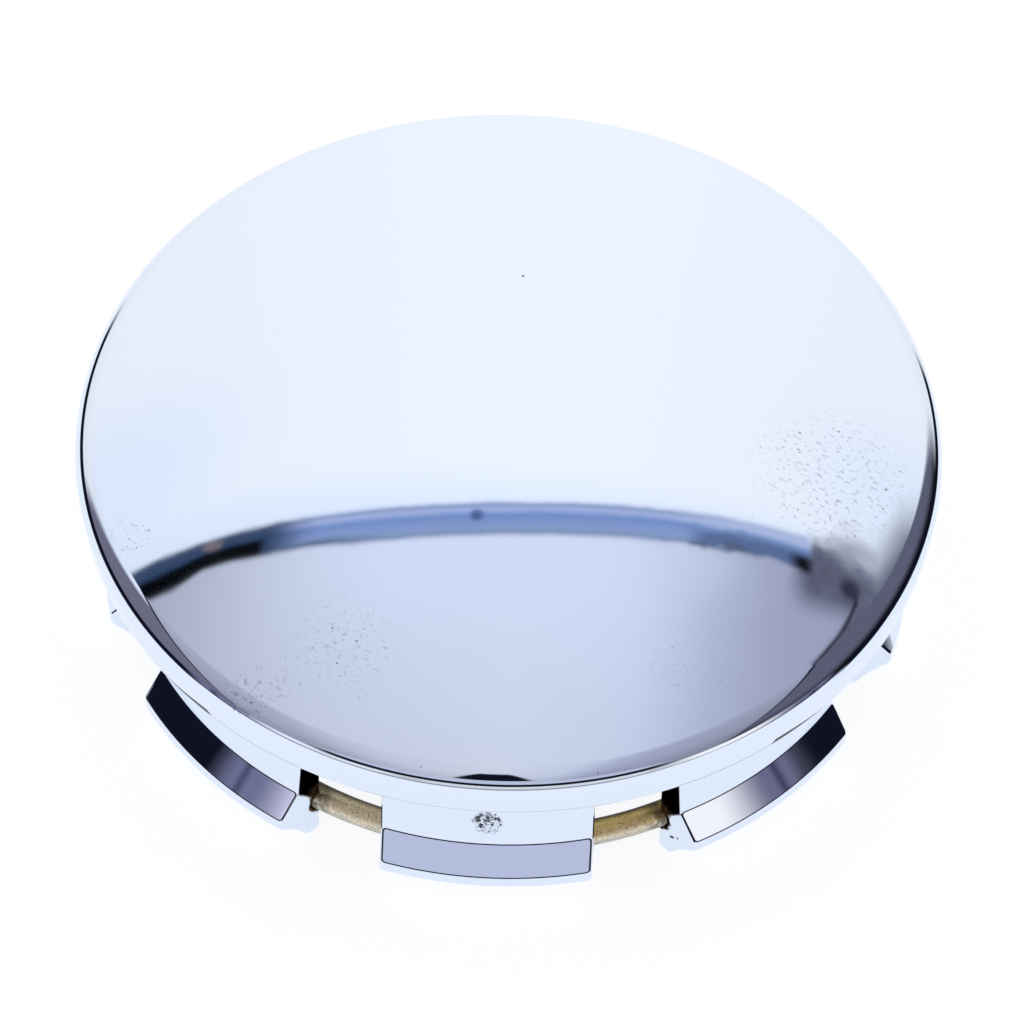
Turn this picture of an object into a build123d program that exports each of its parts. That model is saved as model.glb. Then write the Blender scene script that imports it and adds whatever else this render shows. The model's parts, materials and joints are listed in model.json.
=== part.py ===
from build123d import *
import os
from math import asin, atan2, cos, degrees, radians, sin, tan

# Wheel centre cap: a plated one-piece moulding with a shallow domed face, a flange that seats on
# the wheel, and a ring of barbed legs that snap into the wheel's centre bore. A split ring of round
# spring wire lies in a groove inside the legs and pushes them outwards.
# Millimetres. The origin is on the axis, in the flange's seat plane. +Z points out of the wheel.

# Wheel bore and what reaches past it
bore_diameter = 73.0        # wheel bore that the legs push into
leg_clearance = 0.3         # leg root inside the bore, per side
leg_splay = 0.75            # how far a leg leans out between its root and its barb
barb_reach = 2.5            # barb past the bore, per side
flange_overhang = 5.0       # face past the bore, per side

# Face and flange
rim_height = 2.9            # widest circle of the face, above the seat
crown_height = 9.6          # middle of the face, above the seat
rim_round = 2.4             # rolled edge between face and flange side
flange_draft = 7.0          # lean of the flange side, in degrees
seat_bevel = 0.2            # between flange side and seat
skin = 2.4                  # thickness of the face
hollow_round = 1.0          # corner between the face's underside and the hollow's wall

# Legs
leg_count = 8
leg_width = 20.1
leg_thickness = 1.8         # at the root
leg_corner_round = 0.4      # upright corners of a barb
root_round = 0.4            # between leg and seat
grip_depth = 10.8           # from the seat to the top of the barb
barb_slope_height = 2.6     # face of the barb that grips behind the bore
barb_land = 1.3             # upright band round the barb
lead_in_height = 1.8        # first slope under the band, which guides the leg in
lead_in_width = 1.95
toe_height = 1.75           # second, steeper slope
toe_width = 1.15
edge_round = 0.25           # moulded edges of the barb
toe_round = 0.4             # edges of the foot that the leg stands on
gap_cut_margin = 1.0        # cut between the legs, past the barbs

# Moulding gate left on the front leg
gate_width = 3.0
gate_height = 3.2
gate_proud = 0.2            # above the leg's wall
gate_above_barb = 3.1       # middle of the gate above the top of the barb

# Spring ring
wire_diameter = 2.5
wire_clearance = 0.1        # between wire and groove, all round
wire_below_grip = 3.1       # middle of the wire below the top of the barb
wire_stand_in = 0.3         # middle of the wire inside the legs' inner wall
split_width = 5.0           # opening between the ring's ends
wire_end_bevel = 0.3

# Radii from the axis
bore_radius = bore_diameter / 2
root_radius = bore_radius - leg_clearance
neck_radius = root_radius + leg_splay
barb_radius = bore_radius + barb_reach
face_radius = bore_radius + flange_overhang
inner_radius = root_radius - leg_thickness
lead_in_radius = barb_radius - lead_in_width
toe_radius = lead_in_radius - toe_width
wire_radius = wire_diameter / 2
ring_radius = inner_radius - wire_stand_in
groove_radius = wire_radius + wire_clearance

# Heights from the seat
barb_top = -grip_depth
barb_edge = barb_top - barb_slope_height
land_bottom = barb_edge - barb_land
lead_in_bottom = land_bottom - lead_in_height
leg_bottom = lead_in_bottom - toe_height
wire_height = barb_top - wire_below_grip
gate_middle = barb_top + gate_above_barb

# The rim's section is a circle. The face is part of a sphere on the axis that runs into that circle.
rim_middle = face_radius - rim_round
crown_over_rim = crown_height - rim_height
dome_radius = (crown_over_rim**2 + rim_middle**2 - rim_round**2) / (2 * (crown_over_rim - rim_round))
dome_middle = crown_height - dome_radius
face_angle = degrees(atan2(rim_middle, rim_height - dome_middle))
under_radius = dome_radius - skin
under_angle = degrees(asin(inner_radius / under_radius))
under_corner = (inner_radius, dome_middle + under_radius * cos(radians(under_angle)))

# The flange side leaves the rim's circle at the draft angle and runs down to the seat's bevel.
draft = radians(flange_draft)
side_top_radius = rim_middle + rim_round * cos(draft)
side_top_height = rim_height - rim_round * sin(draft)
seat_edge_radius = side_top_radius - (side_top_height - seat_bevel) * tan(draft)

os.makedirs("parts", exist_ok=True)


# Plan of one leg, along +X: parallel sides, an outer end on the barb's circle, rounded corners.
with BuildSketch() as leg_plan:
    Circle(barb_radius)
    Rectangle(barb_radius, leg_width, align=(Align.MIN, Align.CENTER), mode=Mode.INTERSECT)
    fillet(leg_plan.vertices().group_by(Axis.X)[-1], leg_corner_round)


# Cap body: one section turned about the axis, with the spaces between the legs cut out.
with BuildPart() as cap_body:
    with BuildSketch(Plane.XZ) as section:
        with BuildLine():
            Line((0, dome_middle + under_radius), (0, crown_height))
            CenterArc((0, dome_middle), dome_radius, 90, -face_angle)
            CenterArc(
                (rim_middle, rim_height), rim_round, 90 - face_angle, face_angle - 90 - flange_draft
            )
            Polyline(
                (side_top_radius, side_top_height),
                (seat_edge_radius, seat_bevel),
                (seat_edge_radius - seat_bevel, 0),
                (root_radius, 0),
                (neck_radius, barb_top),
                (barb_radius, barb_edge),
                (barb_radius, land_bottom),
                (lead_in_radius, lead_in_bottom),
                (toe_radius, leg_bottom),
                (inner_radius, leg_bottom),
                under_corner,
            )
            CenterArc((0, dome_middle), under_radius, 90 - under_angle, under_angle)
        make_face()
        for corner, radius in (
            ((root_radius, 0), root_round),
            ((barb_radius, barb_edge), edge_round),
            ((barb_radius, land_bottom), edge_round),
            ((lead_in_radius, lead_in_bottom), edge_round),
            ((toe_radius, leg_bottom), toe_round),
            ((inner_radius, leg_bottom), toe_round),
            (under_corner, hollow_round),
        ):
            fillet(section.vertices().sort_by_distance(corner)[0], radius)
        with Locations((ring_radius, wire_height)):
            Circle(groove_radius, mode=Mode.SUBTRACT)
    revolve(axis=Axis.Z)

    with BuildSketch() as leg_gaps:
        Circle(barb_radius + gap_cut_margin)
        with PolarLocations(0, leg_count, start_angle=-90):
            add(leg_plan.sketch, mode=Mode.SUBTRACT)
    extrude(amount=leg_bottom, mode=Mode.SUBTRACT)

    # The gate stands on the outer wall of the leg at -Y, and starts inside that wall.
    gate_start = inner_radius + leg_thickness / 2
    gate_end = neck_radius - leg_splay * gate_above_barb / grip_depth + gate_proud
    with BuildSketch(Plane.XZ.offset(gate_start)) as gate:
        with Locations((0, gate_middle)):
            Ellipse(gate_width / 2, gate_height / 2)
    extrude(amount=gate_end - gate_start)
cap_body.part.label = "cap_body"


# Spring ring: round wire in the legs' groove, split at +Y behind the rear leg.
split_angle = degrees(split_width / ring_radius)
start_angle = radians(90 + split_angle / 2)
start_plane = Plane(
    origin=(0, 0, 0),
    x_dir=(cos(start_angle), sin(start_angle), 0),
    z_dir=(sin(start_angle), -cos(start_angle), 0),
)
with BuildPart() as spring_ring:
    with BuildSketch(start_plane) as wire_section:
        with Locations((ring_radius, wire_height)):
            Circle(wire_radius)
    revolve(axis=Axis.Z, revolution_arc=360 - split_angle)
    chamfer(spring_ring.faces().filter_by(GeomType.PLANE).edges(), wire_end_bevel)
spring_ring.part.label = "spring_ring"

export_step(cap_body.part, "parts/cap_body.step")
export_step(spring_ring.part, "parts/spring_ring.step")
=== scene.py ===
import json
import math

import bpy
import numpy as np
from mathutils import Matrix, Vector
from mathutils.geometry import tessellate_polygon


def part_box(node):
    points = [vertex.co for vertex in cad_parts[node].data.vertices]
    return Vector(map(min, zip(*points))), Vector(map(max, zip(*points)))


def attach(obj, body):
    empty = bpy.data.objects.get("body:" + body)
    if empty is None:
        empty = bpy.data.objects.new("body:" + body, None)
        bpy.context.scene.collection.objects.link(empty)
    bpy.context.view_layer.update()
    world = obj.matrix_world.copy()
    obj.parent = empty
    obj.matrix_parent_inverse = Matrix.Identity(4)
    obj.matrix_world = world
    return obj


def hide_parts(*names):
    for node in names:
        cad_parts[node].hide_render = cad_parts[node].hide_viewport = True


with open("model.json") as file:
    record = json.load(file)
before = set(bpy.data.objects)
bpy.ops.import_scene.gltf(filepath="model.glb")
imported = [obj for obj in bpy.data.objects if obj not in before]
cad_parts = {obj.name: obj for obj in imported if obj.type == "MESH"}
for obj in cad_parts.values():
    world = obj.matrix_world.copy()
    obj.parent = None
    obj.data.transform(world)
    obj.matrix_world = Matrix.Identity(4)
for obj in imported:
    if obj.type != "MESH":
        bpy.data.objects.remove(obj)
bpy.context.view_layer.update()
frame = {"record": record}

# Sizes are in millimetres, with the seat at height 0, and meshes are scaled to metres as they are made.
MM = 0.001

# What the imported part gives
cap_low, cap_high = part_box("cap_body")
ring_low, ring_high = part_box("spring_ring")
snap_legs = next(m for m in frame["record"]["mounts"] if m["name"] == "snap_legs")
BORE_RADIUS = snap_legs["dims"]["r_mm"]
GRIP_DEPTH = snap_legs["dims"]["length_mm"]
FACE_RADIUS = cap_high.x / MM
CROWN_HEIGHT = cap_high.z / MM
LEG_BOTTOM = cap_low.z / MM
WIRE_RADIUS = (ring_high.z - ring_low.z) / 2 / MM
WIRE_HEIGHT = (ring_high.z + ring_low.z) / 2 / MM
RING_RADIUS = ring_high.x / MM - WIRE_RADIUS

# Face, flange and hollow
RIM_HEIGHT = 2.9
RIM_ROUND = 2.4
FLANGE_DRAFT = math.radians(7.0)
SEAT_ROUND = 0.23
SKIN = 2.4
HOLLOW_ROUND = 1.0

# Legs
LEG_COUNT = 8
LEG_WIDTH = 20.1
LEG_CLEARANCE = 0.3  # leg root inside the bore
LEG_SPLAY = 0.75  # how far a leg leans out down to its barb
LEG_THICKNESS = 1.8
BARB_REACH = 2.5  # barb past the bore
BARB_SLOPE_HEIGHT = 2.6
BARB_LAND = 1.3
LEAD_IN_HEIGHT = 1.8
LEAD_IN_WIDTH = 1.95
TOE_WIDTH = 1.15
ROOT_ROUND = 0.4
NECK_ROUND = 0.3
EDGE_ROUND = 0.25
TOE_ROUND = 0.4
END_ROUND = 0.28  # along the edges of a leg's two end faces, measured across the leg
BARB_END_ROUND = 0.4  # the same, where the barb stands out
BARB_STANDS_OUT = 1.0  # past the neck
END_DEPTH = 0.2  # the same rounding, measured along the end face
TOP_END_ROUND = 0.02  # where the leg meets the seat
WIRE_CLEARANCE = 0.1
GROOVE_LIP = 0.12
HALF_LEG = LEG_WIDTH / 2
ROOT_RADIUS = BORE_RADIUS - LEG_CLEARANCE
NECK_RADIUS = ROOT_RADIUS + LEG_SPLAY
BARB_RADIUS = BORE_RADIUS + BARB_REACH
INNER_RADIUS = ROOT_RADIUS - LEG_THICKNESS
BARB_TOP = -GRIP_DEPTH
BARB_EDGE = BARB_TOP - BARB_SLOPE_HEIGHT
LAND_BOTTOM = BARB_EDGE - BARB_LAND
LEAD_IN_BOTTOM = LAND_BOTTOM - LEAD_IN_HEIGHT
LEAD_IN_RADIUS = BARB_RADIUS - LEAD_IN_WIDTH
TOE_RADIUS = LEAD_IN_RADIUS - TOE_WIDTH
GROOVE_RADIUS = WIRE_RADIUS + WIRE_CLEARANCE

# The rim's section is a circle, and the face is part of a sphere that runs into it.
RIM_MIDDLE = FACE_RADIUS - RIM_ROUND
CROWN_OVER_RIM = CROWN_HEIGHT - RIM_HEIGHT
DOME_RADIUS = (CROWN_OVER_RIM**2 + RIM_MIDDLE**2 - RIM_ROUND**2) / (2 * (CROWN_OVER_RIM - RIM_ROUND))
DOME_MIDDLE = CROWN_HEIGHT - DOME_RADIUS
FACE_ANGLE = math.atan2(RIM_MIDDLE, RIM_HEIGHT - DOME_MIDDLE)
UNDER_RADIUS = DOME_RADIUS - SKIN

# Moulding gate on the front leg, broken off. Each noise is cells in a millimetre, shift and seed.
GATE_WIDTH = 3.0
GATE_TALL = 3.2
GATE_MIDDLE = BARB_TOP + 3.1
GATE_PROUD = 0.16
GATE_OUTLINE_NOISE = (1.6, 40, 3)
GATE_LUMP_NOISE = (2.6, 80, 1)
GATE_GRAIN_NOISE = (5.5, 20, 2)
GATE_WANDER = 0.5  # of its outline
GATE_EDGE = 0.22  # share of the patch over which it rises
GATE_GRAIN = 0.35  # share of the finer noise
GATE_RELIEF = 2.6  # lumps over the gate's height
GATE_SINK = 0.75  # pits below the wall, over the gate's height
GATE_MESH = 1.35  # finely meshed width over the gate's

# Spring ring
SPLIT_WIDTH = 5.0
WIRE_END_BEVEL = 0.3

# Mesh density
FACE_COLUMNS = 256
DOME_RINGS = 40
RIM_RINGS = 30
SEAT_STEPS = 6
LEG_STATIONS = 22
LEG_STEP = 1.2  # along a leg's profile
GATE_STATIONS = 54
GATE_STEP = 0.11  # along the profile of the leg with the gate
EDGE_STEPS = 5
GROOVE_STEPS = 14
INNER_STEPS = 4
END_STEPS = 5
GAP_COLUMNS = 6
HOLLOW_STEPS = 3
CORNER_STEPS = 6
UNDER_RINGS = 14
RING_COLUMNS = 321
WIRE_SIDES = 28
FOOT_COLUMNS = 180

# Camera, from the photo's perspective
CAMERA_PLACE = (15.42, -515.67, 646.33)
CAMERA_HEADING = math.radians(-1.6608)  # from +Y towards +X
CAMERA_PITCH = math.radians(51.6990)  # downwards
CAMERA_ROLL = math.radians(1.5874)
CAMERA_LENS = 302.71
SENSOR_WIDTH = 36.0

# Where a look fades in it has a pair of values: none of it at the first, all of it at the second.
# Two pairs are two such conditions, or one and the numbers that it goes between, as the comment says.
# A window is where it starts, where it ends and how soft both are. A noise is its size and its detail.

# Chrome
CHROME = (0.80, 0.87, 0.98)
POLISH = 0.03  # roughness
WAVE_NOISE = (2.6, 1.0)
WAVE_HEIGHT = 0.0013
FACE_FROM = (3.6, 3.8)  # height at which the marks on the face begin

# Pits on the face
PIT = (0.10, 0.10, 0.13)
PIT_ROUGH = 0.25
PIT_STRENGTH = 0.85
PIT_AXES = ((0.62, -0.42, 0.0), (0.60, 0.95, 0.0))  # pits are longer along the first
PIT_CLUSTERS = (  # middle on the face, reach, how many of the cells hold a pit
    (30.5, -4.5, 12.5, 0.46),
    (-2.0, 3.0, 26.0, 0.10),
    (-14.0, -27.5, 10.0, 0.36),
    (18.0, -27.0, 9.0, 0.24),
    (-22.5, -33.0, 5.0, 0.55),
    (-35.5, -15.0, 4.5, 0.4),
)
CLUSTER_HEIGHT = 6.0
CLUSTER_CORE = 0.25  # share of a cluster's reach that is full
PIT_DENSITY = 0.004  # away from the clusters
PIT_SIZES = ((1.05, 0.10, 0.95), (0.58, 0.12, 0.65))  # cell, range of reach, how dark
PIT_LEAST = 0.035
PIT_EDGE = (1.1, 0.5)
PIT_DEPTHS = (0.25, 1.0)
CROWD = ((0.06, 0.40), (0.12, 0.90))  # density, how dark
MOTTLE_NOISE = (0.45, 1.0)
MOTTLE = ((0.56, 0.72), (0.1, 0.6))  # noise, density
MOTTLE_SHARE = 0.45
FACE_MARKS = (  # middle on the face, radius, how dark
    (0.42, 16.62, 0.15, 1.0),
    (-6.16, -39.93, 0.14, 0.35),
    (10.25, -39.42, 0.12, 0.45),
)
MARK_SQUASH = 1.3  # towards the camera
MARK_EDGE = (1.15, 0.7)  # over the radius

# Dark lines on legs and flange: painted dark reflections round the barbs and along the flange's lower edge,
# and scratches on the leg ends. Sides are in degrees from the front.
DARK_MARKS_AND_REFLECTIONS = (0.012, 0.012, 0.022)
OUTLINE_INSET = 0.22  # of a barb's outline from the leg's end
OUTLINE_ROUND = 0.3
OUTLINE_EDGE = (0.085, 0.045)
END_FACE = (HALF_LEG - 0.06, HALF_LEG - 0.02)
OUTLINED = ((NECK_RADIUS - 0.5, NECK_RADIUS - 0.3), (0.2, 0.0), (72.0, 66.0))  # radius, end face, side
# Painted dark reflection and shade along the flange's lower edge
FLANGE_LINE = ((0.04, -0.04), (-0.03, -0.01), (39.0, 39.4))  # past its top, height, radius
FLANGE_LINE_TALL = SEAT_ROUND + 0.03
FLANGE_FRONT = (18.0, 16.0)
FLANGE_SIDES = (25.5, 49.3, 0.5)
FLANGE_SHARES = (0.30, 0.60, 0.40)  # front, sides, wedge
WEDGE = ((39.5, 40.5), (49.5, 41.0))  # where the line thickens
WEDGE_SHOWS = (0.0, 0.1)
WEDGE_TALL = 0.48
SCRATCH_WAY = (0.8, 0.6)  # radius and height
SCRATCHED_END = (25.0, 35.0, 0.5)
SCRATCH_EDGE = (0.05, 0.4)
END_SCRATCHES = (  # along and across the scratches' own direction, reach both ways
    (19.70, -33.98, 0.44, 0.19),
    (20.61, -33.98, 0.17, 0.15),
)

# Brown grime round the wire, and black painted shade on the upper part of the leg ends
GRIME_AND_SHADE = (0.006, 0.004, 0.003)
GRIME_BROWN = (0.150, 0.092, 0.046)
GRIME_AND_SHADE_ROUGH = 0.5
SHADED_END = ((HALF_LEG - 0.14, HALF_LEG - 0.06), (-0.25, 0.25), (-0.02, -0.1))  # across, foot, top
GRIME_AND_SHADE_SIDES = (36.0, 34.0)
FRONT_LEG = (22.0, 23.0)  # on the front leg the painted shade stays low
FRONT_LEG_LOW = (-7.5, -7.9)
RAGGED_NOISE = (0.8, 4.0)
RAGGED_SPREAD = 2.2
SHADE_DOWN_TO = BARB_TOP - 0.1
SHADE_SLANT = -1.2  # lower towards the axis
SHADE_RAGGED = -0.35
GRIME_RING = (1.85, 1.6)  # from the wire's middle
GRIME_RING_RAGGED = 0.5
STAIN = ((3.4, 2.2), (-0.5, 0.4))  # from the wire's middle, raggedness

# Rough patch of the gate
GATE_PATCH = ((1.1, 0.8), (-35.3, -36.0))  # over its half size, y
SPECK_NOISE = (0.42, 3.0)
SPECK_RISE = 0.07  # more specks towards the top
SPECK_EDGE = (0.52, 0.59)
SPECK_STRENGTH = 0.9

# Wire. Its shades by the side faced are its olive-gold colour with painted light and shade: darkest at the
# top edge, brightest about 22° up.
WIRE_COLOUR_AND_SHADING = (  # by the side that the surface faces, in degrees up from straight out
    (-60.0, (0.60, 0.58, 0.53)),
    (-8.0, (0.61, 0.57, 0.49)),
    (8.0, (0.60, 0.55, 0.45)),
    (22.0, (0.88, 0.79, 0.61)),
    (40.0, (0.84, 0.69, 0.43)),
    (58.0, (0.82, 0.66, 0.39)),
    (70.0, (0.72, 0.56, 0.31)),
    (96.0, (0.68, 0.52, 0.28)),
    (117.0, (0.12, 0.084, 0.04)),
    (130.0, (0.03, 0.02, 0.01)),
    (160.0, (0.03, 0.02, 0.01)),
)
DRAWN = 0.22  # scale of the streaks' noise along the wire, which makes them long
STREAK_NOISE = (0.35, 3.0)
STREAK_SHIFT = 70.0  # degrees by which the shades wander
STREAK_HEIGHT = 0.02
GRAIN_NOISE = (0.19, 3.0)
GRAIN_SHIFT = 115.0
STEADY = ((105.0, 70.0), (0.2, 1.0))  # side faced, how much the shades wander: less at the dark top
PATCH_NOISE = (1.1, 3.0)
PATCH_SHADES = (0.72, 1.28)
PATCH_ROUGH = (0.30, 0.55)
WIRE_GOLD = (1.0, 0.87, 0.55)
GILDED = ((-8.0, 8.0), (15.0, 45.0))  # x, side faced
# Painted glints: pale specks only on the side faced about 10° to 52° up
WIRE_GLINT = (1.0, 0.92, 0.72)
GLINT_FACING = (10.0, 52.0, 14.0)
GLINT_NOISE = (0.22, 3.0)
GLINT_EDGE = (0.54, 0.61)
GLINT_SHARE = 0.65
WIRE_FLECK = (0.05, 0.032, 0.014)
FLECK_NOISE = (0.24, 4.0)
FLECK_EDGE = (0.59, 0.66)
FLECK_SHARE = 0.55
BY_LEG = (26.0, 31.0, 1.8)  # darker patches where the wire goes behind a leg, in degrees from the front
BY_LEG_PATCHES = (0.40, 0.56)
BY_LEG_SHARE = 0.75

# Floor
FLOOR_HALF = 140.0
FLOOR_GLOW = (0.85, 0.85, 0.85)  # as the camera sees it
FLOOR_MIRRORED = (0.78, 0.805, 0.85)  # as the plating sees it
FLOOR_MATT = (0.28, 0.28, 0.28)

# Light tent. A direction meets the roof, at height 1, at u to the right and v to the back.
WHITE = (1, 1, 1)
SOFT_LIGHT = (0.60, 0.60, 0.60)  # on the floor, and on anything else that is not a mirror
DARK = (0.006, 0.007, 0.016)
BLACK = (0.001, 0.001, 0.002)
LOWEST = 0.03  # of the directions that u and v are measured for
SMUDGE_NOISE = (0.028, 3.0)

# Roof, which comes down in front
ROOF_SHADES = (  # along u
    (-1.0, (0.40, 0.40, 0.48)),
    (-0.45, (0.46, 0.465, 0.55)),
    (-0.22, (0.62, 0.63, 0.71)),
    (0.0, (0.73, 0.74, 0.80)),
    (0.13, (0.65, 0.67, 0.78)),
    (0.22, (0.47, 0.486, 0.60)),
    (0.30, (0.416, 0.42, 0.55)),
    (0.5, (0.37, 0.38, 0.47)),
    (1.0, (0.29, 0.28, 0.34)),
)
GLEAM = -0.05  # shift of the shades in a brighter spot at the back
GLEAM_V = (0.44, 0.54)
GLEAM_U = (0.19, 0.27, 0.05)
ROOF_BACK = (0.79, 0.82, 0.95)
ROOF_BACK_AT = ((0.1, 0.55), (0.30, 0.05), (-0.42, -0.1))  # v, u from the right, u from the left
ROOF_FADE = ((0.3, 1.6), (1.0, 0.85))  # how far ahead, brightness
SLIT = (0.52, 1.55, 0.08)  # dark slit towards the front
SLIT_APEX = 0.45
SLIT_SLOPE = 0.2
SLIT_LEAST = 0.03
SLIT_EDGE = (1.15, 0.85)
FRONT_FROM = (-0.70, -0.80)
FRONT_BANDS = (  # fading in downwards, by z
    ((0.52, 0.40), (0.57, 0.59, 0.73)),
    ((0.12, 0.08), (0.77, 0.77, 0.78)),
    ((-0.09, -0.12), (0.30, 0.31, 0.34)),
)
FRONT_SLOT = (0.105, 0.29, 0.015)

# Walls. A corner or seam is the plane with this normal, which points to the back wall or to the walls.
LEFT_CORNER = (0.438, 0.899, 0.0)
LEFT_SEAM = (-0.517, 0.647, -0.560)
RIGHT_SEAM = (0.615, 0.634, -0.469)
SEAM_EDGE = (-0.006, 0.006)
BACK_WALL = (1.0, 1.0, 1.0)
BACK_FOOT = (0.885, 0.925, 1.02)
BACK_FOOT_V = (0.70, 0.58)
BACK_SIDES = ((0.27, 0.46), (1.05, 0.75))  # u to either side, v
BACK_SIDES_SHARE = 0.75
BACK_SHADES = (1.05, 0.85)  # in the middle and to the side
LEFT_WALL = (0.18, 0.165, 0.225)
LEFT_FADE = ((-0.09, 0.10), (0.03, 1.0))  # z, brightness
RIGHT_WALL = (0.125, 0.125, 0.175)
RIGHT_FADE = ((-0.05, 0.45), (0.04, 1.0))  # z, brightness
SIDES_MEET = (-0.1, 0.1)
SMOKE_SMUDGE = 0.9
SMOKE_FROM = (0.6, 0.8)
SMOKE_AT = ((0.475, 0.54), (0.30, 0.338))  # v, u
SMOKE_DIP = 0.622  # v of the smoke's edge, and how it falls off to both sides
SMOKE_DIP_RIGHT = (0.395, -0.5)
SMOKE_DIP_LEFT = (0.345, -2.0)
SMOKE_DIP_SMUDGE = 0.08
SMOKE_RISES = ((-0.415, 2.4), (0.317, 0.83))  # v along u: steep first, then flatter
CORNER_SCALE = 0.75
CORNER_BLUR = ((0.1, 0.80), (0.10, 0.05))  # z, width
CORNER_CRISP = -0.03
CORNER_CRISP_U = (0.40, 0.345)
BACK_EDGES = ((-0.07, 0.07), (-0.8, 1.0))  # left corner, right corner
SMOKE_KNOT = (0.387, 0.552, 0.018, 0.024, (0.02, 0.022, 0.04))  # as in RAIL_SPOTS

# Dark lines along the side seams
LEFT_LINE = ((-0.41, -0.44), (0.016, 0.006))  # u, from the seam
RIGHT_BEND_V = 0.532  # below this the right seam bends away
RIGHT_BEND_MOST = 0.2
RIGHT_BEND = (-0.395, 0.28, 1.47)  # u: constant, and two powers of the way below
RIGHT_BEND_SCALE = 0.8
RIGHT_LINE_WIDTH = ((0.41, 0.36), (0.0022, 0.0080))  # v, width
RIGHT_LINE = ((1.4, 0.5), (0.56, 0.53))  # from the seam over the width, v
LINE_FAINT = ((0.28, 0.45), (0.3, 1.0))  # z, how dark

# The rail along the back seam: blue, black at its left end, dark below and pale above at its right end
RAIL_BOW = (0.5755, 0.0925, 0.0885, -0.105, -1.27)  # v along u: constant, u and its next three powers
RAIL_BOW_ENDS = (-0.5, 0.48)
RAIL_HALF = 0.030
RAIL_SEAM = (-0.008, 0.008)
RAIL_SIDES = (0.0, 1.0, 0.12)
RAIL_ENDS = (-0.52, 0.338, 0.006)
RAIL_SHADES = (  # across the rail
    (0.0, (0.24, 0.30, 0.46)),
    (0.10, (0.22, 0.29, 0.46)),
    (0.18, (0.29, 0.37, 0.58)),
    (0.38, (0.26, 0.35, 0.61)),
    (0.59, (0.195, 0.30, 0.555)),
    (0.78, (0.45, 0.52, 0.78)),
    (0.92, (0.25, 0.31, 0.50)),
    (1.0, (0.50, 0.58, 0.80)),
)
RAIL_SAGS = (  # where along u the lower edge moves, and how far down
    ((-0.17, -0.24), -0.005),
    ((-0.36, -0.405), 0.012),
    ((0.29, 0.33), 0.006),
)
RAIL_NICK = (0.35, (0.05, 0.01), -0.004)  # -u, reach, how far down
RAIL_WAVER = 0.05
RAIL_WAVER_U = (0.185, 0.28, 0.05)
RAIL_SHADE = (0.022, 0.048, 0.105)
RAIL_SHADE_LEFT = ((-0.225, -0.295), 0.95)
RAIL_SHADE_UNDER = (((-0.13, -0.24), (0.34, 0.06)), 0.6)
RAIL_TINTS = (  # colour, where along u and across the rail, how much
    ((0.085, 0.13, 0.25), ((0.18, 0.215), (0.66, 0.34)), 0.85),
    ((0.52, 0.58, 0.77), ((0.14, 0.27), (0.5, 0.8)), 0.75),
)
RAIL_BLACKS = (
    (BLACK, ((-0.288, -0.302), (0.64, 0.44)), 1.0),
    (BLACK, ((0.305, 0.326), (0.52, 0.28)), 1.0),
)
SPOT_SHARE = 0.85
RAIL_SPOTS = (  # u and v, reach along both, colour
    (-0.051, 0.577, 0.010, 0.014, (0.05, 0.09, 0.24)),
    (-0.358, 0.556, 0.017, 0.014, (0.25, 0.19, 0.19)),
    (0.203, 0.559, 0.022, 0.016, (0.05, 0.07, 0.15)),
    (0.246, 0.572, 0.020, 0.014, (0.10, 0.12, 0.20)),
)

# Strips at the foot of the tent: azimuth from +Y towards +X in degrees, height, softness of both, colour
FOOT_RADIUS = 100.0
FOOT_HEIGHTS = (-18.2, 22.0)
FOOT_STRIPS = (
    (-150.0, -117.0, -4.0, 13.5, 3.5, 2.0, (0.19, 0.185, 0.30)),
    (-121.5, -50.0, -10.5, 9.0, 3.5, 2.0, DARK),
    (-150.0, -136.0, 0.0, 13.5, 7.0, 2.5, (0.98, 0.90, 1.05)),
    (-126.6, -125.4, -4.0, 12.0, 1.2, 2.0, (0.045, 0.05, 0.11)),
    (50.0, 110.0, -18.0, 3.0, 3.0, 2.5, DARK),
    (112.0, 142.0, -3.0, 13.0, 3.0, 2.0, (0.17, 0.155, 0.25)),
    (116.4, 117.6, -4.0, 8.0, 1.2, 2.0, (0.03, 0.03, 0.07)),
    (126.0, 148.0, -3.0, 13.5, 6.5, 2.5, (1.08, 1.03, 1.0)),
    (-165.0, -147.0, -1.0, 7.0, 6.0, 3.0, (1.0, 1.0, 1.0)),
)


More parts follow.
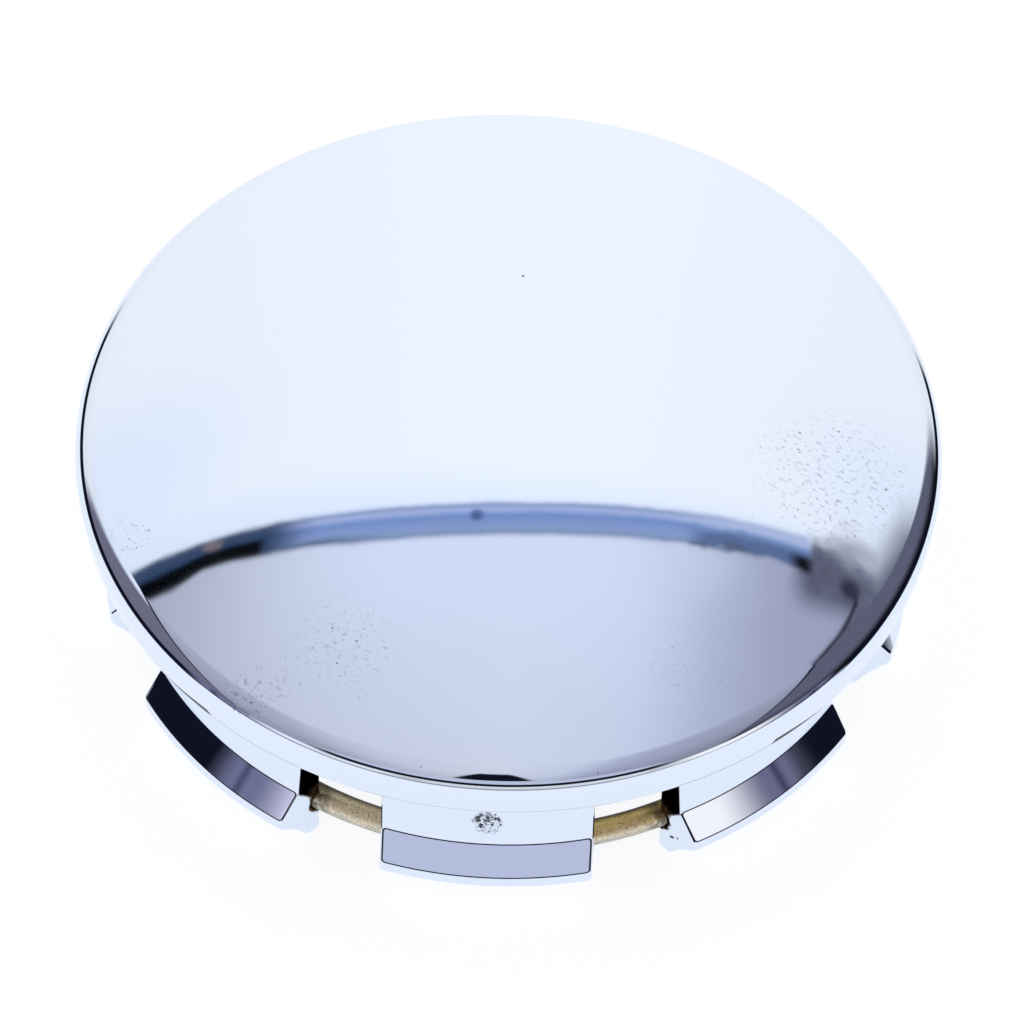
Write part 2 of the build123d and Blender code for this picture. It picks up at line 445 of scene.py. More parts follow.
class Profile:
    """A line in the section of the cap: radius, height and the outward normal at each point."""

    def __init__(self):
        self.points = []
        self.normals = []

    def add(self, point, normal):
        self.points.append((float(point[0]), float(point[1])))
        self.normals.append((float(normal[0]), float(normal[1])))

    def arc(self, middle, radius, start, end, steps, skip_first=False):
        """A circle's arc between two directions. It is convex where it runs clockwise."""
        side = 1.0 if end < start else -1.0
        for step in range(1 if skip_first else 0, steps + 1):
            angle = start + (end - start) * step / steps
            out = (math.cos(angle), math.sin(angle))
            self.add(
                (middle[0] + radius * out[0], middle[1] + radius * out[1]),
                (side * out[0], side * out[1]),
            )

    def line(self, end, steps):
        """A straight run from the last point, which has the run's own normal at its end."""
        start = np.array(self.points[-1])
        run = np.array(end, float) - start
        along = run / np.linalg.norm(run)
        for step in range(1, steps + 1):
            self.add(start + run * step / steps, (-along[1], along[0]))

    def path(self, corners, line_step, round_steps):
        """Straight runs through the corners, which are (radius, height, rounding), ends included."""
        spots = [np.array(corner[:2], float) for corner in corners]
        for before, spot, after, corner in zip(spots, spots[1:], spots[2:], corners[1:]):
            into = (spot - before) / np.linalg.norm(spot - before)
            out = (after - spot) / np.linalg.norm(after - spot)
            turn = math.atan2(into[0] * out[1] - into[1] * out[0], into @ out)
            reach = corner[2] * math.tan(abs(turn) / 2)
            start = spot - into * reach
            if not self.points:
                self.add(start, (-into[1], into[0]))
            else:
                length = np.linalg.norm(start - np.array(self.points[-1]))
                self.line(start, max(1, round(length / line_step)))
            left = np.array((-into[1], into[0])) * math.copysign(1.0, turn)
            middle = start + left * corner[2]
            first = math.atan2(*(start - middle)[::-1])
            self.arc(middle, corner[2], first, first + turn, round_steps, skip_first=True)
        length = np.linalg.norm(spots[-1] - np.array(self.points[-1]))
        self.line(spots[-1], max(1, round(length / line_step)))

    def arrays(self):
        return np.array(self.points), np.array(self.normals)


class Shell:
    """Points, normals and faces of one mesh. A flat face keeps its own normal at its corners."""

    def __init__(self):
        self.points = []
        self.normals = []
        self.faces = []
        self.flat_normals = []

    def add_points(self, points, normals):
        first = len(self.points)
        self.points.extend(map(tuple, points))
        self.normals.extend(map(tuple, normals))
        return list(range(first, len(self.points)))

    def add_face(self, corners, flat_normal=None):
        self.faces.append(tuple(corners))
        self.flat_normals.append(flat_normal)

    def add_strip(self, first, second, closed):
        """Quads between two rows of points."""
        count = len(first) if closed else len(first) - 1
        for step in range(count):
            after = (step + 1) % len(first)
            self.add_face((first[step], first[after], second[after], second[step]))

    def add_strips(self, rows, closed):
        for row, after in zip(rows, rows[1:]):
            self.add_strip(row, after, closed)

    def make(self, name, material):
        """The finished object, with every face turned to the side that its normals point to."""
        points = np.array(self.points) * MM
        normals = np.array(self.normals)
        sizes = np.array([len(face) for face in self.faces])
        starts = np.cumsum(sizes) - sizes
        corners = np.concatenate(self.faces)
        after = np.arange(len(corners)) + 1
        after[starts + sizes - 1] = starts
        facing = np.add.reduceat(np.cross(points[corners], points[corners[after]]), starts)
        wanted = np.add.reduceat(normals[corners], starts)
        for number, flat_normal in enumerate(self.flat_normals):
            if flat_normal is not None:
                wanted[number] = flat_normal
        flipped = np.einsum("ij,ij->i", facing, wanted) < 0
        faces = [face[::-1] if flip else face for face, flip in zip(self.faces, flipped)]
        corner_normals = normals[np.concatenate(faces)]
        for number, flat_normal in enumerate(self.flat_normals):
            if flat_normal is not None:
                corner_normals[starts[number]:starts[number] + sizes[number]] = flat_normal
        mesh = bpy.data.meshes.new(name)
        mesh.from_pydata(points.tolist(), [], faces)
        mesh.polygons.foreach_set("use_smooth", [True] * len(faces))
        mesh.normals_split_custom_set(corner_normals.tolist())
        mesh.materials.append(material)
        piece = bpy.data.objects.new(name, mesh)
        bpy.context.scene.collection.objects.link(piece)
        return piece


def turn_points(points, angle):
    """Points or directions turned about the cap's axis."""
    turned = np.array(points, float)
    cosine, sine = math.cos(angle), math.sin(angle)
    turned[:, 0], turned[:, 1] = (
        points[:, 0] * cosine - points[:, 1] * sine,
        points[:, 0] * sine + points[:, 1] * cosine,
    )
    return turned


def lathe_row(point, normal, angles):
    """One profile point carried round to the given angles."""
    cosine, sine = np.cos(angles), np.sin(angles)
    points = np.column_stack([point[0] * cosine, point[0] * sine, np.full(len(angles), point[1])])
    normals = np.column_stack([normal[0] * cosine, normal[0] * sine, np.full(len(angles), normal[1])])
    return points, normals


def face_profile():
    """From the middle of the face over the rim and down the flange to the seat."""
    profile = Profile()
    rim_start = math.pi / 2 - FACE_ANGLE
    profile.arc((0, DOME_MIDDLE), DOME_RADIUS, math.pi / 2, rim_start, DOME_RINGS)
    profile.arc((RIM_MIDDLE, RIM_HEIGHT), RIM_ROUND, rim_start, -FLANGE_DRAFT, RIM_RINGS, skip_first=True)
    side_top = profile.points[-1]
    side_end = (side_top[0] - side_top[1] * math.tan(FLANGE_DRAFT), 0.0)
    side = Profile()
    corners = (side_top + (0,), side_end + (SEAT_ROUND,), (ROOT_RADIUS, 0.0, 0))
    side.path(corners, line_step=FACE_RADIUS, round_steps=SEAT_STEPS)
    profile.points += side.points[:-1]
    profile.normals += side.normals[:-1]
    return profile.arrays()


def leg_profile(line_step):
    """From the seat down a leg's outer wall, round its barb and foot, and up its inner wall."""
    outside = Profile()
    corners = (
        (ROOT_RADIUS + 1, 0.0, 0),  # only gives the seat's direction
        (ROOT_RADIUS, 0.0, ROOT_ROUND),
        (NECK_RADIUS, BARB_TOP, NECK_ROUND),
        (BARB_RADIUS, BARB_EDGE, EDGE_ROUND),
        (BARB_RADIUS, LAND_BOTTOM, EDGE_ROUND),
        (LEAD_IN_RADIUS, LEAD_IN_BOTTOM, EDGE_ROUND),
        (TOE_RADIUS, LEG_BOTTOM, TOE_ROUND),
        (INNER_RADIUS, LEG_BOTTOM, TOE_ROUND),
        (INNER_RADIUS, WIRE_HEIGHT - GROOVE_RADIUS - GROOVE_LIP, 0),
    )
    outside.path(corners, line_step, EDGE_STEPS)
    opening = math.acos((INNER_RADIUS - RING_RADIUS + GROOVE_LIP) / GROOVE_RADIUS)
    outside.arc((RING_RADIUS, WIRE_HEIGHT), GROOVE_RADIUS, -opening, opening, GROOVE_STEPS)
    outside.add((INNER_RADIUS, WIRE_HEIGHT + GROOVE_RADIUS + GROOVE_LIP), (-1, 0))
    outside.line((INNER_RADIUS, 0.0), INNER_STEPS)
    return outside.arrays()


def end_rounding(points):
    """How far the edges of a leg's end faces are rounded at each point: across the leg, and in depth."""
    near_seat = np.clip(-points[:, 1] / (3 * END_ROUND), 0, 1)
    across = np.where(points[:, 0] > NECK_RADIUS + BARB_STANDS_OUT, BARB_END_ROUND, END_ROUND)
    across = TOP_END_ROUND + (across - TOP_END_ROUND) * near_seat
    depth = TOP_END_ROUND + (END_DEPTH - TOP_END_ROUND) * near_seat
    return across, depth


def smooth_step(share):
    return share * share * (3 - 2 * share)


def lattice(spots, noise):
    """Repeatable random numbers from 0 to 1, smooth between the points of a grid."""
    cells_in_mm, shift, seed = noise
    spots = spots * cells_in_mm + shift
    cell = np.floor(spots).astype(np.int64)
    part = smooth_step(spots - cell)

    def corner(right, up):
        mixed = (cell[..., 0] + right) * 374761393 + (cell[..., 1] + up) * 668265263 + seed * 974634777
        mixed = (mixed ^ (mixed >> 13)) * 1274126177 & 0x7FFFFFFF
        return (mixed ^ (mixed >> 16)) % 65536 / 65535.0

    low = corner(0, 0) * (1 - part[..., 0]) + corner(1, 0) * part[..., 0]
    high = corner(0, 1) * (1 - part[..., 0]) + corner(1, 1) * part[..., 0]
    return low * (1 - part[..., 1]) + high * part[..., 1]


def gate_height(across, height):
    """How far the broken gate stands out of the front leg's wall: a ragged patch full of small pits."""
    spots = np.stack([across, height - GATE_MIDDLE], axis=-1)
    ragged = 1 + GATE_WANDER * (lattice(spots, GATE_OUTLINE_NOISE) - 0.5)
    reach = np.hypot(spots[..., 0] / (GATE_WIDTH / 2), spots[..., 1] / (GATE_TALL / 2)) / ragged
    patch = smooth_step(np.clip((1.0 - reach) / GATE_EDGE, 0, 1))
    lumps = (1 - GATE_GRAIN) * lattice(spots, GATE_LUMP_NOISE) + GATE_GRAIN * lattice(spots, GATE_GRAIN_NOISE)
    return patch * GATE_PROUD * (GATE_RELIEF * lumps - GATE_SINK)


def raise_gate(points, normals, spots):
    """Moves the points of the front leg's outer wall out by the gate's height, and tilts their normals."""
    faces_out = normals[:, 1] < -0.5
    wall = (spots[:, 0] > ROOT_RADIUS) & (spots[:, 1] > BARB_TOP) & faces_out
    across, height = points[wall, 0], points[wall, 2]
    points[wall] += gate_height(across, height)[:, None] * normals[wall]
    step = 0.02  # for the slopes
    rise_across = gate_height(across + step, height) - gate_height(across - step, height)
    rise_up = gate_height(across, height + step) - gate_height(across, height - step)
    normals[wall, 0] -= rise_across / (2 * step)
    normals[wall, 2] -= rise_up / (2 * step)


def leg_stations(has_gate):
    """Places across a leg: the share of its flat width, and how far the end's rounding has turned."""
    shares = np.linspace(-1, 1, LEG_STATIONS)
    if has_gate:
        gate = GATE_MESH * GATE_WIDTH / LEG_WIDTH
        fine = np.linspace(-gate, gate, GATE_STATIONS)
        shares = np.unique(np.concatenate([shares[np.abs(shares) > gate], fine]))
    tilts = np.linspace(0, math.pi / 2, END_STEPS + 1)[1:]
    flat = [(share, 0.0) for share in shares]
    return [(-1.0, -tilt) for tilt in tilts[::-1]] + flat + [(1.0, tilt) for tilt in tilts]


def leg_grid(shell, number):
    """One leg's surface. Returns its rows of points along the seat: outside, and inside the hollow."""
    has_gate = number == 0
    outline, slopes = leg_profile(GATE_STEP if has_gate else LEG_STEP)
    rounding, depth = end_rounding(outline)
    angle = 2 * math.pi * number / LEG_COUNT
    columns = []
    for share, tilt in leg_stations(has_gate):
        across = share * (HALF_LEG - rounding) + rounding * math.sin(tilt)
        spots = outline - (depth * (1 - math.cos(tilt)))[:, None] * slopes
        out = np.sqrt(spots[:, 0] ** 2 - across**2)
        radial = np.column_stack([across / spots[:, 0], -out / spots[:, 0]])
        normals = np.column_stack([radial * slopes[:, :1], slopes[:, 1]])
        normals *= (rounding * math.cos(tilt))[:, None]
        normals[:, 0] += depth * math.sin(tilt)
        normals /= np.linalg.norm(normals, axis=1, keepdims=True)
        points = np.column_stack([across, -out, spots[:, 1]])
        if has_gate:
            raise_gate(points, normals, spots)
        normals /= np.linalg.norm(normals, axis=1, keepdims=True)
        columns.append(shell.add_points(turn_points(points, angle), turn_points(normals, angle)))

    shell.add_strips(columns, closed=False)
    for column, side in ((columns[0], -1.0), (columns[-1], 1.0)):
        facing = turn_points(np.array([[side, 0.0, 0.0]]), angle)[0]
        shell.add_face(column, tuple(facing))
    return [column[0] for column in columns], [column[-1] for column in columns]


def under_profile():
    """The hollow: its wall from the seat up, a rounded corner, and the underside of the face."""
    under = Profile()
    corner_radius = INNER_RADIUS - HOLLOW_ROUND
    corner_reach = UNDER_RADIUS - HOLLOW_ROUND
    corner_height = DOME_MIDDLE + math.sqrt(corner_reach**2 - corner_radius**2)
    corner_end = math.pi / 2 - math.asin(corner_radius / corner_reach)
    under.add((INNER_RADIUS, 0.0), (-1, 0))
    under.line((INNER_RADIUS, corner_height), HOLLOW_STEPS)
    under.arc((corner_radius, corner_height), HOLLOW_ROUND, 0, corner_end, CORNER_STEPS, skip_first=True)
    under.arc((0, DOME_MIDDLE), UNDER_RADIUS, corner_end, math.pi / 2, UNDER_RINGS, skip_first=True)
    return under.arrays()


def make_cap(material):
    """The plated cap: face, flange, legs and hollow in one closed mesh."""
    shell = Shell()
    outline, slopes = face_profile()
    angles = np.linspace(0, 2 * math.pi, FACE_COLUMNS, endpoint=False)
    pole = shell.add_points([(0, 0, outline[0, 1])], [(0, 0, 1)])[0]
    rows = [shell.add_points(*lathe_row(p, n, angles)) for p, n in zip(outline[1:], slopes[1:])]
    for step in range(FACE_COLUMNS):
        shell.add_face((pole, rows[0][step], rows[0][(step + 1) % FACE_COLUMNS]))
    shell.add_strips(rows, closed=True)
    seat_edge = rows[-1]

    # Round the seat: each leg's root, then the stretch of hollow wall up to the next leg.
    wall_row, seat_hole = [], []
    half_leg = math.asin(HALF_LEG / INNER_RADIUS)
    pitch = 2 * math.pi / LEG_COUNT
    for number in range(LEG_COUNT):
        root, inside = leg_grid(shell, number)
        middle = 2 * math.pi * number / LEG_COUNT - math.pi / 2
        gap = np.linspace(middle + half_leg, middle + pitch - half_leg, GAP_COLUMNS + 2)[1:-1]
        gap_row = shell.add_points(*lathe_row((INNER_RADIUS, 0.0), (-1, 0), gap))
        wall_row += inside + gap_row
        seat_hole += [inside[0]] + root + [inside[-1]] + gap_row
    loops = [seat_edge, seat_hole]
    corners = seat_edge + seat_hole
    for triangle in tessellate_polygon([[Vector(shell.points[i]) for i in loop] for loop in loops]):
        shell.add_face([corners[i] for i in triangle], (0, 0, -1))

    outline, slopes = under_profile()
    spots = np.array([shell.points[i] for i in wall_row])
    angles = np.arctan2(spots[:, 1], spots[:, 0])
    rows = [wall_row]
    rows += [shell.add_points(*lathe_row(p, n, angles)) for p, n in zip(outline[1:-1], slopes[1:-1])]
    shell.add_strips(rows, closed=True)
    pole = shell.add_points([(0, 0, outline[-1, 1])], [(0, 0, -1)])[0]
    for step in range(len(wall_row)):
        shell.add_face((rows[-1][step], rows[-1][(step + 1) % len(wall_row)], pole))
    return shell.make("plated_cap", material)


def make_ring(material):
    """The split ring of round wire, with bevelled ends."""
    shell = Shell()
    half_split = SPLIT_WIDTH / RING_RADIUS / 2
    bevel = WIRE_END_BEVEL / RING_RADIUS
    start = math.pi / 2 + half_split + bevel
    sweep = np.linspace(start, 5 * math.pi / 2 - half_split - bevel, RING_COLUMNS)
    sweep = [sweep[0] - bevel, *sweep, sweep[-1] + bevel]
    around = np.linspace(0, 2 * math.pi, WIRE_SIDES, endpoint=False)
    out, up = np.cos(around), np.sin(around)
    rows = []
    for number, angle in enumerate(sweep):
        end = number in (0, len(sweep) - 1)
        radius = WIRE_RADIUS - WIRE_END_BEVEL if end else WIRE_RADIUS
        reach = RING_RADIUS + radius * out
        cosine, sine = math.cos(angle), math.sin(angle)
        points = np.column_stack([reach * cosine, reach * sine, WIRE_HEIGHT + radius * up])
        normals = np.column_stack([out * cosine, out * sine, up])
        rows.append(shell.add_points(points, normals))
    shell.add_strips(rows, closed=True)
    for row, angle, side in ((rows[0], sweep[0], -1), (rows[-1], sweep[-1], 1)):
        shell.add_face(row, (-side * math.sin(angle), side * math.cos(angle), 0.0))
    return shell.make("spring_wire", material)


class Graph:
    """Adds nodes to one node tree. Values are numbers, colours, vectors or the outputs of other nodes."""

    def __init__(self, tree):
        self.tree = tree
        tree.nodes.clear()

    def put(self, socket, value):
        if isinstance(value, bpy.types.NodeSocket):
            self.tree.links.new(value, socket)
        elif socket.type == "RGBA":
            socket.default_value = (*value, 1)
        else:
            socket.default_value = value

    def node(self, kind, inputs=None, **settings):
        node = self.tree.nodes.new("ShaderNode" + kind)
        for key, value in settings.items():
            setattr(node, key, value)
        for key, value in (inputs or {}).items():
            self.put(node.inputs[key], value)
        return node

    def math(self, operation, first, second=0.0):
        return self.node("Math", {0: first, 1: second}, operation=operation).outputs[0]

    def chain(self, operation, values):
        result = values[0]
        for value in values[1:]:
            result = self.math(operation, result, value)
        return result

    def add(self, *values):
        return self.chain("ADD", values)

    def times(self, *values):
        return self.chain("MULTIPLY", values)

    def most(self, *values):
        return self.chain("MAXIMUM", values)

    def least(self, *values):
        return self.chain("MINIMUM", values)

    def less(self, first, second):
        return self.math("SUBTRACT", first, second)

    def over(self, first, second):
        return self.math("DIVIDE", first, second)

    def size(self, value):
        return self.math("ABSOLUTE", value)

    def length(self, first, second):
        return self.math("SQRT", self.add(self.times(first, first), self.times(second, second)))

    def degrees(self, first, second):
        """The angle of (first, second), from the second's way towards the first's."""
        return self.times(self.math("ARCTAN2", first, second), 180 / math.pi)

    def smooth(self, value, low, high):
        """A smooth step from 0 at low to 1 at high. It falls where low is above high."""
        inputs = {"Value": value, "From Min": low, "From Max": high}
        return self.node("MapRange", inputs, interpolation_type="SMOOTHSTEP").outputs[0]

    def window(self, value, low, high, soft):
        """1 between low and high, 0 outside, with soft edges."""
        start = self.smooth(value, low - soft, low + soft)
        return self.times(start, self.smooth(value, high + soft, high - soft))

    def blend(self, share, low, high):
        """A number that goes from low to high as the share goes from 0 to 1."""
        return self.add(low, self.times(high - low, share))

    def fade(self, value, span, ends):
        """A number that goes from the first end to the second as the value crosses the span."""
        return self.blend(self.smooth(value, *span), *ends)

    def steps(self, values, spans):
        """The product of smooth steps, each of a value across its span."""
        return self.times(*[self.smooth(value, *span) for value, span in zip(values, spans)])

    def spot(self, first, second, middle, reach):
        """1 in the middle of an ellipse in two coordinates, falling to 0 at its edge."""
        across = self.times(self.add(first, -middle[0]), 1 / reach[0])
        along = self.times(self.add(second, -middle[1]), 1 / reach[1])
        return self.smooth(self.add(self.times(across, across), self.times(along, along)), 1.0, 0.0)

    def mix(self, share, first, second):
        return self.node("Mix", {0: share, 6: first, 7: second}, data_type="RGBA").outputs[2]

    def vector(self, *values):
        return self.node("CombineXYZ", dict(enumerate(values))).outputs[0]

    def scale(self, vector, factor):
        return self.node("VectorMath", {0: vector, "Scale": factor}, operation="SCALE").outputs[0]

    def dot(self, vector, other):
        return self.node("VectorMath", {0: vector, 1: other}, operation="DOT_PRODUCT").outputs["Value"]

    def distance(self, vector, other):
        return self.node("VectorMath", {0: vector, 1: other}, operation="DISTANCE").outputs["Value"]

    def split(self, vector):
        return tuple(self.node("SeparateXYZ", {0: vector}).outputs)

    def ramp(self, value, low, high, stops):
        """Colours along a value. Each stop is the value and its colour."""
        share = self.node("MapRange", {"Value": value, "From Min": low, "From Max": high}).outputs[0]
        node = self.node("ValToRGB", {0: share})
        elements = node.color_ramp.elements
        while len(elements) < len(stops):
            elements.new(0.5)
        for element, (spot, colour) in zip(elements, stops):
            element.position = (spot - low) / (high - low)
            element.color = (*colour, 1)
        return node.outputs[0]

    def noise(self, place, size, detail):
        """Noise from 0 to 1 with features of about the given size."""
        inputs = {"Vector": place, "Scale": 1 / size, "Detail": detail}
        return self.node("TexNoise", inputs).outputs[0]

    def place(self):
        """The place on a piece, in millimetres."""
        return self.scale(self.node("TexCoord").outputs["Object"], 1 / MM)

    def metal(self, colour, rough, height, edge_tint=WHITE):
        """A metal surface with a bump as high as the given value in millimetres, as the material's output."""
        bump = self.node("Bump", {"Height": height, "Distance": MM}).outputs[0]
        inputs = {
            "Metallic": 1.0,
            "Base Color": colour,
            "Roughness": rough,
            "Specular Tint": edge_tint,
            "Normal": bump,
        }
        shader = self.node("BsdfPrincipled", inputs)
        self.node("OutputMaterial", {"Surface": shader.outputs[0]})


def new_material(name):
    material = bpy.data.materials.new(name)
    material.use_nodes = True
    return material, Graph(material.node_tree)


def face_pits(g, place):
    """Pits in clusters on the face, and the mottling where they crowd."""
    cells = g.vector(g.dot(place, PIT_AXES[0]), g.dot(place, PIT_AXES[1]))
    density = PIT_DENSITY
    for middle_x, middle_y, reach, amount in PIT_CLUSTERS:
        away = g.distance(place, (middle_x, middle_y, CLUSTER_HEIGHT))
        density = g.add(density, g.times(amount, g.smooth(away, reach, CLUSTER_CORE * reach)))
    pits = 0.0
    for size, range_of_reach, dark in PIT_SIZES:
        inputs = {"Vector": cells, "Scale": 1 / size}
        voronoi = g.node("TexVoronoi", inputs, voronoi_dimensions="2D").outputs
        chance, spread, depth = g.split(voronoi["Color"])
        reach = g.add(PIT_LEAST, g.times(range_of_reach, spread))
        pit = g.smooth(g.over(voronoi["Distance"], reach), *PIT_EDGE)
        pit = g.times(pit, g.math("LESS_THAN", chance, density), dark, g.blend(depth, *PIT_DEPTHS))
        pits = g.most(pits, pit)
    mottle = g.times(MOTTLE_SHARE, g.steps((g.noise(cells, *MOTTLE_NOISE), density), MOTTLE))
    return g.most(g.times(g.fade(density, *CROWD), pits), mottle)


def face_marks(g, x, y):
    """Single dark marks on the face."""
    marks = 0.0
    for middle_x, middle_y, reach, dark in FACE_MARKS:
        away = g.length(g.add(x, -middle_x), g.times(MARK_SQUASH, g.add(y, -middle_y)))
        start, end = MARK_EDGE
        marks = g.most(marks, g.times(dark, g.smooth(away, start * reach, end * reach)))
    return marks


def barb_edge_reflection(g, across, z):
    """Painted dark reflection round the face of a barb: the outline of a rectangle with rounded corners."""
    barb_middle = (BARB_TOP + BARB_EDGE) / 2
    past_end = g.add(across, OUTLINE_ROUND + OUTLINE_INSET - HALF_LEG)
    past_edge = g.add(g.size(g.add(z, -barb_middle)), OUTLINE_ROUND - (BARB_TOP - BARB_EDGE) / 2)
    corner_away = g.length(g.most(past_end, 0.0), g.most(past_edge, 0.0))
    inner = g.least(g.most(past_end, past_edge), 0.0)
    return g.smooth(g.size(g.add(corner_away, inner, -OUTLINE_ROUND)), *OUTLINE_EDGE)


def flange_reflection_and_shade(g, radius, z, aside):
    """Painted dark reflection and shade along the flange's lower edge, which thickens to a wedge at both
    sides.
    """
    wedge = g.steps((aside, aside), WEDGE)
    front_share, side_share, wedge_share = FLANGE_SHARES
    share = g.add(
        g.times(front_share, g.smooth(aside, *FLANGE_FRONT)),
        g.times(side_share, g.window(aside, *FLANGE_SIDES)),
        g.times(wedge_share, g.smooth(wedge, *WEDGE_SHOWS)),
    )
    top = g.add(FLANGE_LINE_TALL, g.times(WEDGE_TALL, wedge))
    return g.times(share, g.steps((g.less(z, top), z, radius), FLANGE_LINE))


def end_scratches(g, radius, z):
    """Scratches on a leg's end face."""
    along_way, up_way = SCRATCH_WAY
    along = g.add(g.times(along_way, radius), g.times(up_way, z))
    across = g.add(g.times(-up_way, radius), g.times(along_way, z))
    scratches = 0.0
    for middle_along, middle_across, reach_along, reach_across in END_SCRATCHES:
        scratch = g.spot(along, across, (middle_along, middle_across), (reach_along, reach_across))
        scratches = g.most(scratches, g.smooth(scratch, *SCRATCH_EDGE))
    return scratches


def wire_grime_and_shade(g, place, radius, z, across, aside):
    """Brown grime round the wire and black painted shade on the upper leg ends, at the two front gaps: their
    cover and their colour.
    """
    wire_away = g.length(g.add(radius, -RING_RADIUS), g.add(z, -WIRE_HEIGHT))
    ragged = g.times(RAGGED_SPREAD, g.add(g.noise(place, *RAGGED_NOISE), -0.5))
    inwards = g.less(NECK_RADIUS, radius)
    down_to = g.add(SHADE_DOWN_TO, g.times(SHADE_SLANT, inwards), g.times(SHADE_RAGGED, ragged))
    low_in_front = g.most(g.smooth(aside, *FRONT_LEG), g.smooth(z, *FRONT_LEG_LOW))
    # Black painted shade on the upper part of the leg ends
    upper_end = g.times(low_in_front, g.steps((across, g.less(z, down_to), z), SHADED_END))
    ring = g.smooth(g.add(wire_away, g.times(GRIME_RING_RAGGED, ragged)), *GRIME_RING)
    cover = g.times(g.most(ring, upper_end), g.smooth(aside, *GRIME_AND_SHADE_SIDES))
    return cover, g.mix(g.steps((wire_away, ragged), STAIN), GRIME_AND_SHADE, GRIME_BROWN)


def gate_patch(g, place):
    """The rough patch of the gate, and the dark specks in it."""
    x, y, z = g.split(place)
    gate_x = g.times(x, 2 / GATE_WIDTH)
    gate_z = g.times(g.add(z, -GATE_MIDDLE), 2 / GATE_TALL)
    gate = g.steps((g.length(gate_x, gate_z), y), GATE_PATCH)
    speck_noise = g.add(g.noise(place, *SPECK_NOISE), g.times(SPECK_RISE, gate_z))
    return gate, g.times(gate, g.smooth(speck_noise, *SPECK_EDGE))


def chrome_material():
    """Bright plating with pits, painted dark reflections along the barbs and the flange's lower edge, brown
    grime where the wire rubs the legs, and black painted shade on the leg ends above it.
    """
    material, g = new_material("chrome")
    place = g.place()
    x, y, z = g.split(place)
    radius = g.length(x, y)
    angle = g.degrees(x, g.times(y, -1))
    aside = g.size(angle)
    turn = g.times(g.math("ROUND", g.times(angle, LEG_COUNT / 360)), 360 / LEG_COUNT)
    fold = g.times(g.less(angle, turn), math.pi / 180)
    across = g.size(g.times(radius, g.math("SINE", fold)))  # from the middle of the nearest leg

    on_face = g.smooth(z, *FACE_FROM)
    end_face = g.smooth(across, *END_FACE)
    pits = g.times(on_face, face_pits(g, place))
    marks = g.times(on_face, face_marks(g, x, y))
    # Painted dark reflections round the barbs and along the flange's lower edge, together with scratches on
    # the leg ends
    outline = g.times(barb_edge_reflection(g, across, z), g.steps((radius, end_face, aside), OUTLINED))
    scratched = g.times(end_face, g.window(angle, *SCRATCHED_END))
    scratches = g.times(scratched, end_scratches(g, radius, z))
    lines = g.most(outline, flange_reflection_and_shade(g, radius, z, aside), scratches)
    # Brown grime round the wire, and black painted shade on the upper leg ends
    grime_and_shade, grime_and_shade_colour = wire_grime_and_shade(g, place, radius, z, across, aside)
    gate, specks = gate_patch(g, place)

    colour = g.mix(g.times(PIT_STRENGTH, pits), CHROME, PIT)
    colour = g.mix(g.most(lines, marks, g.times(SPECK_STRENGTH, specks)), colour, DARK_MARKS_AND_REFLECTIONS)
    colour = g.mix(grime_and_shade, colour, grime_and_shade_colour)
    rough = g.add(POLISH, g.times(PIT_ROUGH, g.most(pits, gate)), g.times(GRIME_AND_SHADE_ROUGH, grime_and_shade))
    waves = g.times(WAVE_HEIGHT, g.noise(place, *WAVE_NOISE))
    # The edge tint darkens with the grime and painted shade too
    g.metal(colour, rough, waves, g.mix(grime_and_shade, WHITE, grime_and_shade_colour))
    return material


def wire_material():
    """Spring wire with an olive-gold coat that shows wear: drawn along its length, mottled and flecked, with
    painted light and shade by the side faced, darkest at the top edge and brightest about 22° up.
    """
    material, g = new_material("wire")
    place = g.place()
    x, y, z = g.split(place)
    radius = g.length(x, y)
    along = g.times(g.math("ARCTAN2", x, y), RING_RADIUS)
    facing = g.degrees(g.add(z, -WIRE_HEIGHT), g.add(radius, -RING_RADIUS))
    aside = g.size(g.degrees(x, g.times(y, -1)))
    streaks = g.noise(g.vector(g.times(along, DRAWN), z, radius), *STREAK_NOISE)
    patches = g.noise(place, *PATCH_NOISE)
    grains = g.noise(place, *GRAIN_NOISE)

    uneven = g.add(g.times(STREAK_SHIFT, g.add(streaks, -0.5)), g.times(GRAIN_SHIFT, g.add(grains, -0.5)))
    # Painted light and shade by the side faced, wandering with the streaks and grains
    worn_and_shaded = g.add(facing, g.times(uneven, g.fade(facing, *STEADY)))
    colour = g.ramp(worn_and_shaded, WIRE_COLOUR_AND_SHADING[0][0], WIRE_COLOUR_AND_SHADING[-1][0], WIRE_COLOUR_AND_SHADING)
    colour = g.scale(colour, g.blend(patches, *PATCH_SHADES))
    inputs = {0: colour, 1: g.mix(g.steps((x, facing), GILDED), WHITE, WIRE_GOLD)}
    colour = g.node("VectorMath", inputs, operation="MULTIPLY").outputs[0]
    # Painted glints: pale specks only on the side faced about 10° to 52° up
    glints = g.smooth(g.noise(place, *GLINT_NOISE), *GLINT_EDGE)
    colour = g.mix(g.times(GLINT_SHARE, g.window(facing, *GLINT_FACING), glints), colour, WIRE_GLINT)
    flecks = g.smooth(g.noise(place, *FLECK_NOISE), *FLECK_EDGE)
    by_leg = g.times(g.window(aside, *BY_LEG), g.smooth(patches, *BY_LEG_PATCHES))
    dark_flecks_and_patches = g.most(g.times(FLECK_SHARE, flecks), g.times(BY_LEG_SHARE, by_leg))
    colour = g.mix(dark_flecks_and_patches, colour, WIRE_FLECK)
    g.metal(colour, g.blend(patches, *PATCH_ROUGH), g.times(STREAK_HEIGHT, streaks))
    return material


